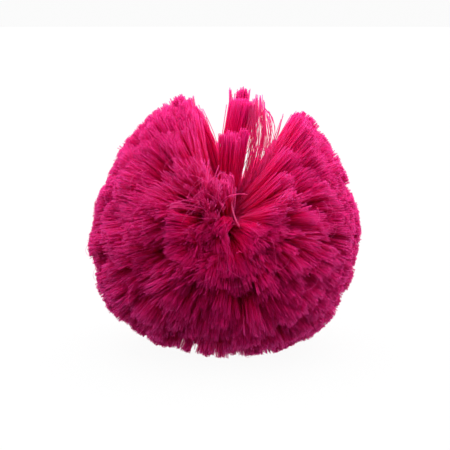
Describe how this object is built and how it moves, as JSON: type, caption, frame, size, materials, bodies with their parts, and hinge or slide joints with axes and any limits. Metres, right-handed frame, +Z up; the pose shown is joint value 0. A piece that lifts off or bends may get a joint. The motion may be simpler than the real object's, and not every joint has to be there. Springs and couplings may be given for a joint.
{
  "type": "yarn pom pom",
  "caption": "Round yarn pom pom, tied once round its middle, its cut strands fanned out in locks that part at the top, standing on its own strands.",
  "frame": {"origin": "middle of the footprint, on the surface that the ball stands on", "axes": "+Z up, -Y towards the front, where the parting faces the viewer, +X to the viewer's right, along the axis that the two halves lie on"},
  "size_m": [0.0602, 0.0586, 0.0574],
  "materials": {
    "yarn": "soft, slightly lustrous fine yarn, hot pink",
    "thread": "tight shiny thread, paler pink"
  },
  "bodies": {
    "root": {"pile": "yarn", "tie": "thread"}
  },
  "joints": []
}
